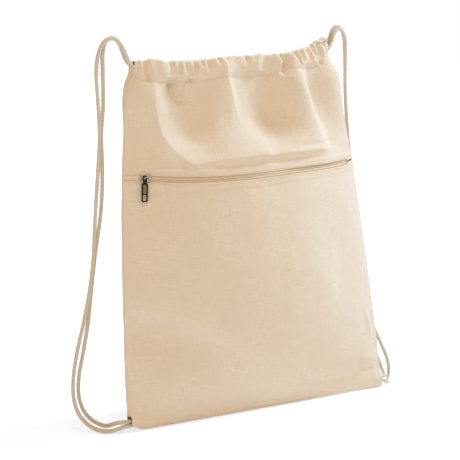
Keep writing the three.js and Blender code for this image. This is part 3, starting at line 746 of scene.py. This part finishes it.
def make_front_lower():
    heights = spaced(0.0018, ZIP - WINDOW_HALF, 0.0021)
    points, uv = cloth_rows(front_base, heights, front_height, front_edge)
    hem, hem_uv = hem_rows(-1)
    points, uv = np.concatenate([points, hem]), np.concatenate([uv, hem_uv])
    points = close_slot(lift_corner(points), -1)
    cloth = grid_piece("pocket_face_cloth", points, uv, CALICO, slot="calico")
    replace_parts(cloth, "front_lower_panel")
    thicken(cloth, CLOTH)


def make_front_upper():
    heights = spaced(ZIP + WINDOW_HALF, TOP, 0.0012)
    points, uv = cloth_rows(front_base, heights, front_height, front_edge)
    hem, hem_uv = hem_rows(1)
    over, over_uv = turned_top(front_base, front_height, front_edge)
    points = close_slot(np.concatenate([hem[::-1], points, over]), 1)
    uv = np.concatenate([hem_uv[::-1], uv, over_uv])
    cloth = grid_piece("front_gathered_cloth", points, uv, CALICO, slot="calico")
    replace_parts(cloth, "front_upper_panel", "front_casing")
    thicken(cloth, CLOTH)


def make_back():
    heights = np.concatenate([spaced(0, 0.03, 0.0008), spaced(0.0316, TOP, 0.0017)])
    points, uv = cloth_rows(back_base, heights, back_height, back_edge)
    over, over_uv = turned_top(back_base, back_height, back_edge)
    points, uv = np.concatenate([points, over])[:, ::-1], np.concatenate([uv, over_uv])[:, ::-1]
    cloth = grid_piece("back_cloth", lift_corner(points), uv, CALICO, slot="calico")
    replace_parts(cloth, "back_panel", "back_casing")
    thicken(cloth, CLOTH)


# --- Seams, lining and stitches ---


SEAM_CLOTH = 0.0004
STRIP_STEP = 0.0009  # between the points across a seam's strip, on the flat cloth


def make_side_seam(name, side):
    """The turned edge where front and back meet, as a narrow rounded strip."""
    low, high = 0.0143, CASING_FOOT + 0.0207
    z = spaced(low, high, 0.002)
    s = np.full_like(z, side * EDGE)
    front = raised(front_base, s, z, front_height(s, z))
    back = raised(back_base, s, z, back_height(s, z))
    middle, reach = (front + back) / 2, (back - front) / 2
    bulge = 0.0012 + 0.0004 * lattice_noise(z, z * 0, 0.011, 31)
    turned_in = np.array([-side * 0.0038, 0, 0])
    rows = [middle - reach * 0.35 + turned_in]
    for angle in np.linspace(-math.pi / 2, math.pi / 2, 9):
        out = np.stack([side * bulge * math.cos(angle), 0 * z, 0 * z], axis=-1)
        rows.append(middle + reach * math.sin(angle) + out)
    rows.append(middle + reach * 0.35 + turned_in)
    points = np.stack(rows, axis=1)[:, ::side]
    uv = uv_pairs(np.arange(11)[None, :] * STRIP_STEP + 0.3, z[:, None])
    strip = grid_piece(name, lift_corner(points), uv, CALICO, slot="calico")
    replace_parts(strip, name.replace("edge", "seam"))
    thicken(strip, SEAM_CLOTH)


def make_bottom_edge():
    """The turned edge along the floor, from the front cloth round to the back cloth."""
    s = np.linspace(-0.985, 0.985, 260)
    front = raised(front_base, s, np.full_like(s, 0.0022), 0.0002)
    back = back_base(s, np.full_like(s, 0.0012)) + np.array([0, 0.0012, 0])
    rows = [front + np.array([0, 0.0011, 0.0036])]
    for angle in np.linspace(0, math.pi, 9):
        share = (1 - math.cos(angle)) / 2
        point = front * (1 - share) + back * share
        point[:, 2] = np.maximum(0.0005, point[:, 2] - 0.0015 * math.sin(angle))
        rows.append(point)
    rows.append(back + np.array([0, 0.0034, 0.0008]))
    uv = uv_pairs(s[None, :] * WEAVE_HALF, np.arange(11)[:, None] * STRIP_STEP + 0.7)
    strip = grid_piece("bottom_edge", lift_corner(np.array(rows[::-1])), uv[::-1], CALICO, slot="calico")
    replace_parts(strip, "bottom_seam")
    thicken(strip, SEAM_CLOTH)


LINING_CLOTH = 0.0005
LINING_ROOM = 0.0065  # how far the pocket's back hangs behind its front


def lining_depth(s, z):
    """How deep the pocket's back lies under the bare shape: close at its sewn edges, slack between."""
    sides = 1 - np.abs(s / 0.97) ** 20
    foot = ease(z, 0.018, 0.05)
    head = 1 - ease(z, ZIP - 0.06, ZIP - 0.012)
    return 0.0024 + LINING_ROOM * sides * foot * head + 0.0016 * (1 - head)


def make_lining():
    """The pocket's back, which follows the dents of the front cloth."""
    s, z = np.meshgrid(np.linspace(-0.958, 0.958, 181), spaced(0.0182, 0.2945, 0.003))
    crinkle = 0.0007 * lattice_noise(s * 0.18, z, 0.04, 41)
    dents = np.minimum(folds_over(LOWER_FOLDS, s * half_width(s, z), z), 0) * (1 - np.abs(s) ** 14)
    depth = lining_depth(s, z) + crinkle * (1 - ease(z, 0.22, 0.26)) - dents
    uv = np.stack([s * 0.18, z + 1], axis=-1)
    cloth = grid_piece("pocket_back_cloth", raised(front_base, s, z, -depth), uv, LINING, slot="calico")
    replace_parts(cloth, "pocket_lining")
    thicken(cloth, LINING_CLOTH)


STITCH = 0.0027
THREAD = 0.00026  # radius
THREAD_SIDES = 7
STITCH_ARCH = THREAD * np.array([-0.6, 0.75, 1.0, 0.75, -0.6])  # the thread's height over the cloth


def capsule(centres, radius):
    """A short thread over the given points, tapered at both ends."""
    ends = np.sin(np.linspace(0.25, math.pi - 0.25, len(centres))) ** 0.4
    return tube_rings(centres, radius * ends, THREAD_SIDES)


def thread_piece(name, tubes):
    """One piece from many short threads."""
    points, faces, start = [], [], 0
    for rings in tubes:
        points.append(rings.reshape(-1, 3))
        faces.extend(capped_faces(len(rings), THREAD_SIDES, start))
        start += len(rings) * THREAD_SIDES
    return mesh_piece(name, np.vstack(points), faces, THREADS, slot="thread")


def make_stitches(name, surface, standing, height, node):
    """A row of lockstitches from side to side. height(s) is where the row runs on the cloth."""
    low, high = -0.975, 0.975
    count = int((high - low) * ZIP_HALF / STITCH)
    tubes = []
    for i in range(count):
        begin = low + (high - low) * i / count
        s = np.linspace(begin, begin + (high - low) / count * 0.84, 5)
        z = height(s)
        tubes.append(capsule(raised(surface, s, z, standing(s, z) + STITCH_ARCH), THREAD))
    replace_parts(thread_piece(name, tubes), node)


def casing_line(s):
    """Where the stitches under a casing run."""
    return casing_share(s, np.full_like(s, TOP))[1] - 0.0001


def zip_line(side):
    """Where the stitches above (1) or below (-1) the zip run."""
    def height(s):
        return np.full_like(s, ZIP + side * ZIP_STITCH)
    return height


# --- Zip ---

ZIP_HALF = 0.15  # half the width of the bag at the zip, for what is counted along it
TAPE_LOW, TAPE_HIGH = -0.96, 0.97
TAPE_CLOTH = 0.0004
COIL_LOW, COIL_HIGH = -0.9, 0.92
COIL_LINE, COIL_DEPTH = 0.0018, 0.0031  # the coil's middle, from the zip's and under the bare shape
COIL_WIDE, COIL_DEEP, COIL_WIRE = 0.00105, 0.00048, 0.00022  # half its width, half its depth, its radius
TOOTH_PITCH = 0.0013
TOOTH_HEIGHT = 0.00009

# Across a tape from the middle of the zip, mm: how far along the cloth, and how deep under its bare shape.
TAPE_SHAPE = MM * np.array([
    (0.1, 1.5), (0.2, 1.2), (0.5, 0.98), (1.1, 0.86), (1.8, 0.86), (2.5, 1.02),
    (3, 1.24), (3.4, 1.36), (4, 1.42), (6, 1.5), (9, 1.52), (12, 1.55),
])


def make_tape(name, side):
    """A woven tape whose inner edge bulges over the coil that is sewn behind it."""
    s, across = np.meshgrid(np.linspace(TAPE_LOW, TAPE_HIGH, 420), TAPE_SHAPE[:, 0])
    z = ZIP + side * across
    over_coil = (across > 0.001) & (across < 0.0028)
    teeth = TOOTH_HEIGHT * np.cos(s * ZIP_HALF * 2 * math.pi / TOOTH_PITCH) * over_coil
    points = raised(front_base, s, z, teeth - TAPE_SHAPE[:, 1:])
    uv = np.stack([s * ZIP_HALF, across], axis=-1)
    tape = grid_piece(name, points[::side], uv[::side], TAPE, slot="zip_tape")
    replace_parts(tape, name.replace("zip_tape", "zipper_tape"))
    thicken(tape, TAPE_CLOTH)


def make_coil(name, side):
    """The coil behind the tape: one turn for each tooth."""
    turns = int((COIL_HIGH - COIL_LOW) * ZIP_HALF / TOOTH_PITCH)
    steps = 10  # points a turn
    t = np.arange(turns * steps + 1) / steps
    s = COIL_LOW + (COIL_HIGH - COIL_LOW) * t / turns
    angle = t * 2 * math.pi
    z = ZIP + side * (COIL_LINE + COIL_WIDE * np.cos(angle))
    centres = raised(front_base, s, z, -(COIL_DEPTH + COIL_DEEP * np.sin(angle)))
    sides = 6
    rings = tube_rings(centres, np.full(len(centres), COIL_WIRE), sides)
    piece = mesh_piece(name, rings.reshape(-1, 3), capped_faces(len(centres), sides), COIL, slot="zip_coil")
    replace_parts(piece, name.replace("zip_coil", "zipper_coil"))


END_LEFT, END_RIGHT, END_HALF = -0.999, -0.905, 0.0046


def end_tab_stand(s, z):
    """The cloth tab lies on the tapes at its free end and under the hems above and below."""
    return 0.0001 - 0.0013 * ease(np.abs(z - ZIP), 0.0026, 0.0038) + 0.0003 * ease(s, -0.93, END_RIGHT)


def make_end_tab():
    """The cloth tab over the zip's left end, with its free edge turned under."""
    s, z = np.meshgrid(spaced(END_LEFT, END_RIGHT, 0.0035), spaced(ZIP - END_HALF, ZIP + END_HALF, 0.0004))
    rows = raised(front_base, s, z, end_tab_stand(s, z))
    edge, normal = rows[:, -1], outward(front_base, s[:, -1], z[:, -1])
    along = edge - rows[:, -2]
    along = along / np.linalg.norm(along, axis=-1, keepdims=True)
    radius = 0.00045
    fold_rows = turned(edge, normal, along, radius, radius)
    inner = fold_rows[-1] - (edge - rows[:, -9])
    grid = np.concatenate([rows, np.stack(fold_rows + [inner], axis=1)], axis=1)
    uv = uv_pairs(np.arange(grid.shape[1])[None, :] * 0.0005 + 2, z[:, :1])
    tab = grid_piece("zip_end_tab", grid, uv, CALICO, slot="calico")
    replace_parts(tab, "zipper_end_tab")
    thicken(tab, TAPE_CLOTH)


def make_end_stitches(name, s_at):
    """Stitches across the zip that close its end."""
    tubes = []
    for i in range(3):
        begin = ZIP - 0.0034 + i * 0.0023
        z = np.linspace(begin, begin + 0.0019, 5)
        s = np.full_like(z, s_at)
        tubes.append(capsule(raised(front_base, s, z, end_tab_stand(s, z) + STITCH_ARCH), THREAD))
    thread_piece(name, tubes)


def make_stop(name, s_at):
    """A bent staple over both coils."""
    z = ZIP + np.linspace(-0.0019, 0.0019, 9)
    s = np.full_like(z, s_at)
    depth = np.array([2.2, 1.4, 0.75, 0.62, 0.6, 0.62, 0.75, 1.4, 2.2]) * MM
    half = 0.0011
    rings = []
    for across in np.linspace(-half, half, 5):
        edge = 0.00012 * (across / half) ** 4
        rings.append(raised(front_base, s + across / ZIP_HALF, z, -(depth + edge)))
    sheet = np.stack(rings, axis=1)
    piece = grid_piece(name, sheet, np.zeros((9, 5, 2)), COIL, slot="zip_coil")
    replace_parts(piece, name.replace("zip_stop", "zipper_stop"))
    thicken(piece, TAPE_CLOTH)


def dress(node, material, bevel):
    """A CAD part that keeps its shape: softer edges and a real material."""
    part = bpy.data.objects[node]
    part.data.materials.clear()
    part.data.materials.append(material)
    edges = part.modifiers.new("edges", "BEVEL")
    edges.width, edges.segments, edges.limit_method = bevel, 2, "ANGLE"
    edges.angle_limit = math.radians(35)
    edges.harden_normals = True


def make_tack(name):
    """A bar tack of close threads across the two cord ends."""
    node = name.replace("corner_tack", "cord_tack")
    low, high = (np.array(corner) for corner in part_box(node))
    wide, deep, tall = high - low
    count, margin, radius = 9, 0.0003, 0.0004
    t = np.linspace(0, 1, 7)
    tubes = []
    for i in range(count):
        x = low[0] + wide * t
        y = low[1] + margin + (deep - 2 * margin) * (0.5 + 0.42 * np.cos(math.pi * t + i))
        z = np.full_like(t, low[2] + tall * (i + 0.5) / count)
        tubes.append(capsule(np.stack([x, y, z], axis=-1), radius))
    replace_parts(thread_piece(name, tubes), node)


def tab_frame():
    """The pull tab's own axes at rest: its pivot, across, out of the cloth and down the tab."""
    lift = next(joint for joint in frame["joints"] if joint["name"] == "tab_lift")
    pivot, across = np.array(lift["pos_m"]), -np.array(lift["axis"], dtype=float)
    across /= np.linalg.norm(across)
    down = np.array(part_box("pull_tab")).mean(axis=0) - pivot
    down -= across * across.dot(down)
    down /= np.linalg.norm(down)
    return pivot, across, np.cross(down, across), down


def rounded(value):
    """Stretches a cosine or sine towards 1 or -1, which makes a circle a rounded rectangle."""
    return math.copysign(min(1, abs(value) ** 0.35), value)


def make_tab_plate():
    """The olive plate in the tab's recess, with a softly raised middle."""
    pivot, across, out, down = tab_frame()
    half, top, bottom, sides = 0.00195, 0.0029, 0.0135, 32
    centre, reach = (top + bottom) / 2, (bottom - top) / 2
    points = []
    shares = (1, 0.94, 0.8, 0.5, 0.02)
    for share in shares:
        lift = 0.00046 + 0.00016 * (1 - share**3)
        for i in range(sides):
            angle = 2 * math.pi * (i + 0.5) / sides
            x, y = rounded(math.cos(angle)) * half, -rounded(math.sin(angle)) * reach
            points.append(pivot + across * x * share + down * (centre + y * share) + out * lift)
    faces = grid_faces(len(shares), sides, wrap=True)
    faces.append(tuple(range(sides * (len(shares) - 1), sides * len(shares))))
    plate = mesh_piece("pull_tab_plate", points, faces, OLIVE, body="tab", slot="antique_brass")
    thicken(plate, 0.0003)


# --- Materials ---

BLACK, WHITE = (0, 0, 0), (1, 1, 1)


class Nodes:
    """A short way to write a material's node tree."""

    def __init__(self, name, roughness, metallic=0.0, sheen=0.0):
        self.material = bpy.data.materials.new(name)
        self.material.use_nodes = True
        self.tree = self.material.node_tree
        self.shader = self.tree.nodes["Principled BSDF"]
        looks = {"Roughness": roughness, "Metallic": metallic, "Sheen Weight": sheen, "Sheen Roughness": 0.4}
        for socket, value in looks.items():
            self.feed(self.shader.inputs[socket], value)

    def feed(self, socket, value):
        """Link an output to an input, or set the input's value."""
        if isinstance(value, bpy.types.NodeSocket):
            self.tree.links.new(value, socket)
        elif socket.type == "RGBA":
            socket.default_value = (*value, 1)
        else:
            socket.default_value = value

    def surface(self, tone, height, strength, distance, under=None):
        """Colour and relief of the material."""
        self.feed(self.shader.inputs["Base Color"], tone)
        self.feed(self.shader.inputs["Normal"], self.bump(height, strength, distance, under))
        return self.material

    def node(self, kind, feeds, output=0, **settings):
        """Add a node, feed its inputs, and return the output that is used."""
        node = self.tree.nodes.new(kind)
        for key, value in settings.items():
            setattr(node, key, value)
        for name, value in feeds.items():
            self.feed(node.inputs[name], value)
        return node.outputs[output]

    def noise(self, vector, scales, detail):
        """Noise that is finer or coarser in each direction, by the three scales."""
        scaled = self.node("ShaderNodeVectorMath", {0: vector, 1: scales}, operation="MULTIPLY")
        return self.node("ShaderNodeTexNoise", {"Vector": scaled, "Scale": 1, "Detail": detail}, "Fac")

    def wave(self, vector, direction, scale):
        feeds = {"Vector": vector, "Scale": scale}
        return self.node("ShaderNodeTexWave", feeds, "Fac", bands_direction=direction)

    def ramp(self, value, *stops):
        color = self.node("ShaderNodeValToRGB", {"Fac": value}, "Color")
        elements = color.node.color_ramp.elements
        while len(elements) < len(stops):
            elements.new(0.5)
        for element, (place, tone) in zip(elements, stops):
            element.position = place
            element.color = (*tone, 1)
        return color

    def mask(self, value, low, high):
        return self.ramp(value, (low, BLACK), (high, WHITE))

    def mix(self, factor, first, second):
        return self.node("ShaderNodeMix", {0: factor, 6: first, 7: second}, 2, data_type="RGBA")

    def math(self, operation, first, second):
        return self.node("ShaderNodeMath", {0: first, 1: second}, operation=operation)

    def bump(self, height, strength, distance, under=None):
        feeds = {"Strength": strength, "Distance": distance, "Height": height}
        if under is not None:
            feeds["Normal"] = under
        return self.node("ShaderNodeBump", feeds)

    def uv(self):
        return self.node("ShaderNodeUVMap", {}, "UV", uv_map="cloth")

    def place(self):
        return self.node("ShaderNodeTexCoord", {}, "Object")


def srgb(red, green, blue):
    """A colour given as on a screen, 0 to 255, as the linear values that the shader takes."""
    values = (np.array([red, green, blue]) / 255.0).tolist()
    return tuple(v / 12.92 if v <= 0.04045 else ((v + 0.055) / 1.055) ** 2.4 for v in values)


def shade(color, factor):
    """A darker or lighter tone of a colour. factor may be one number or one for each channel."""
    return tuple(np.minimum(1, np.multiply(color, factor)).tolist())


THREAD_PITCH = 0.00062  # between neighbouring threads of the weave
WAVE_PERIOD = 0.314159  # a wave texture of scale 1 repeats after this length


def cloth_material(name, color):
    """Unbleached plain weave: threads both ways, slubs, uneven tone and a few seed flecks."""
    m = Nodes(name, 0.92, sheen=0.25)
    uv = m.uv()
    threads = WAVE_PERIOD / THREAD_PITCH
    crossing = m.math("MULTIPLY", m.math("ADD", m.wave(uv, "Y", threads), m.wave(uv, "X", threads)), 0.5)
    weft_slub = m.noise(uv, (70, 900, 1), 3)
    warp_slub = m.noise(uv, (900, 60, 1), 3)
    slub = m.math("ADD", weft_slub, warp_slub)
    half_slub = m.math("MULTIPLY", slub, 0.5)
    tone = m.ramp(half_slub, (0.36, shade(color, 0.9)), (0.5, color), (0.66, shade(color, 1.07)))
    tone = m.mix(m.mask(m.noise(uv, (22, 22, 22), 3), 0.35, 0.75), tone, shade(color, 0.965))
    seeds = m.noise(uv, (420, 700, 1), 0)
    tone = m.mix(m.mask(seeds, 0.845, 0.87), tone, shade(color, (0.55, 0.42, 0.3)))
    return m.surface(tone, slub, 0.5, 0.0004, m.bump(crossing, 0.35, 0.00025))


def cord_material(name, color):
    """Soft cotton braid with fine fibres and a little wear."""
    m = Nodes(name, 0.95, sheen=0.3)
    uv = m.uv()
    fibres = m.noise(uv, (26, 1500, 1), 3)
    wear = m.noise(uv, (2, 60, 1), 2)
    tone = m.ramp(fibres, (0.3, shade(color, 0.78)), (0.7, shade(color, 1.1)))
    tone = m.mix(m.mask(wear, 0.4, 0.7), tone, shade(color, 0.93))
    return m.surface(tone, fibres, 0.4, 0.0003)


def metal_material(name, color, roughness):
    """Metal with fine scratches."""
    m = Nodes(name, roughness, metallic=1.0)
    scratches = m.noise(m.place(), (1400, 1400, 5200), 3)
    tone = m.ramp(scratches, (0.3, shade(color, 0.75)), (0.7, color))
    return m.surface(tone, scratches, 0.12, 0.0001)


def plain_weave_material(name, color, scale, roughness=0.85):
    """For thread, tape and coil: fine ribs and an uneven tone."""
    m = Nodes(name, roughness, sheen=0.15)
    ribs = m.noise(m.place(), (scale, scale, scale * 1.6), 2)
    tone = m.ramp(ribs, (0.3, shade(color, 0.86)), (0.7, shade(color, 1.05)))
    return m.surface(tone, ribs, 0.3, 0.0002)


CALICO = cloth_material("calico", srgb(231, 209, 177))
# The pocket's inside is a darker, warmer copy of the calico: painted warm shade for the cloth inside the
# pocket.
LINING = cloth_material("calico_inside_painted_shade", srgb(224, 202, 170))
BRAID = cord_material("braid", srgb(218, 200, 172))
THREADS = plain_weave_material("thread", srgb(232, 211, 178), 2600)
# The tape's tone is warmer than the calico: partly the tape's own colour, partly painted warm shade for the
# golden-brown lines in the zip's slot.
TAPE = plain_weave_material("zip_tape", srgb(235, 208, 170), 1900)
COIL = plain_weave_material("zip_coil", srgb(214, 194, 162), 900, roughness=0.45)
NICKEL = metal_material("nickel", srgb(222, 219, 212), 0.22)
DARK = metal_material("dark_metal", srgb(58, 54, 46), 0.34)
BRASS = metal_material("antique_brass", srgb(52, 47, 39), 0.36)
OLIVE = metal_material("olive_brass", srgb(150, 136, 102), 0.55)

# --- Light and floor ---

FILL_COLOR, FILL_STRENGTH = (1, 0.85, 0.69, 1), 0.62  # warm light from all round
FLOOR_GREY, FLOOR_GLOW = (0.9, 0.9, 0.9), (0.8, 1, 1.25)
GLOW_BY_DISTANCE = {"From Min": 0.5, "From Max": 2.4, "To Min": 0.42, "To Max": 0.8}
UNSEEN_GLOW = 0.4  # the share of the floor's glow that lights the bag
FLOOR_HALF = 6.0


def make_world():
    """Fill light, and plain white where the camera sees past the floor."""
    world = bpy.data.worlds.new("studio")
    bpy.context.scene.world = world
    world.use_nodes = True
    tree = world.node_tree
    fill = tree.nodes["Background"]
    seen = tree.nodes.new("ShaderNodeBackground")
    for light, color, strength in ((fill, FILL_COLOR, FILL_STRENGTH), (seen, (1, 1, 1, 1), 1.0)):
        light.inputs["Color"].default_value = color
        light.inputs["Strength"].default_value = strength
    path = tree.nodes.new("ShaderNodeLightPath")
    mix = tree.nodes.new("ShaderNodeMixShader")
    for i, source in enumerate((path.outputs["Is Camera Ray"], fill.outputs[0], seen.outputs[0])):
        tree.links.new(source, mix.inputs[i])
    tree.links.new(mix.outputs[0], tree.nodes["World Output"].inputs["Surface"])


def make_light(name, place, aim, size, power, color):
    data = bpy.data.lights.new(name, "AREA")
    data.shape = "DISK"
    data.size, data.energy, data.color = size, power, color
    aimed(name, data, place, aim)


def make_floor():
    """A white sheet that glows a little more with distance, so that no horizon shows."""
    m = Nodes("floor", 0.9)
    distance = m.node("ShaderNodeVectorMath", {0: m.place()}, "Value", operation="LENGTH")
    feeds = {"Value": distance, **GLOW_BY_DISTANCE}
    glow = m.node("ShaderNodeMapRange", feeds, "Result", interpolation_type="SMOOTHSTEP")
    seen = m.node("ShaderNodeLightPath", {}, "Is Camera Ray")
    share = m.math("ADD", m.math("MULTIPLY", seen, 1 - UNSEEN_GLOW), UNSEEN_GLOW)
    m.feed(m.shader.inputs["Base Color"], FLOOR_GREY)
    m.feed(m.shader.inputs["Emission Color"], FLOOR_GLOW)
    m.feed(m.shader.inputs["Emission Strength"], m.math("MULTIPLY", glow, share))
    mesh = bpy.data.meshes.new("floor")
    corners = [(x * FLOOR_HALF, y * FLOOR_HALF, 0) for x, y in ((-1, -1), (1, -1), (1, 1), (-1, 1))]
    mesh.from_pydata(corners, [], [(0, 1, 2, 3)])
    mesh.materials.append(m.material)
    floor = bpy.data.objects.new("floor", mesh)
    floor.location.z = -0.0004
    bpy.context.scene.collection.objects.link(floor)


# --- Making ---

bpy.context.scene.view_settings.view_transform = "Standard"
make_camera()
make_cord("left_drawcord_braid", "drawcord_left", LEFT_CORD)
make_cord("right_drawcord_braid", "drawcord_right", RIGHT_CORD)
make_front_lower()
make_front_upper()
make_back()
make_lining()
make_side_seam("side_edge_left", -1)
make_side_seam("side_edge_right", 1)
make_bottom_edge()
for label, surface, standing in (("front", front_base, front_height), ("back", back_base, back_height)):
    make_stitches("casing_thread_" + label, surface, standing, casing_line, "casing_stitch_" + label)
for label, side in (("upper", 1), ("lower", -1)):
    make_stitches("zip_thread_" + label, front_base, front_height, zip_line(side), "zip_stitch_" + label)
    make_tape("zip_tape_" + label, side)
    make_coil("zip_coil_" + label, side)
make_end_tab()
make_end_stitches("end_tab_thread_outer", -0.975)
make_end_stitches("end_tab_thread_inner", -0.925)
make_stop("zip_stop_left", -0.895)
make_stop("zip_stop_right", 0.91)
make_tack("corner_tack_left")
make_tack("corner_tack_right")
dress("zipper_slider", NICKEL, 0.0003)
dress("pull_link", DARK, 0.0002)
dress("pull_tab", BRASS, 0.0002)
make_tab_plate()
make_world()
make_light("key", (1.85, -0.16, 2.3), aim=(0, 0, 0.22), size=0.5, power=96, color=(0.38, 0.6, 0.95))
make_light("front", (-0.9, -1.5, 2.6), aim=(0, 0, 0.2), size=1.0, power=13, color=(1.0, 0.86, 0.7))
make_floor()
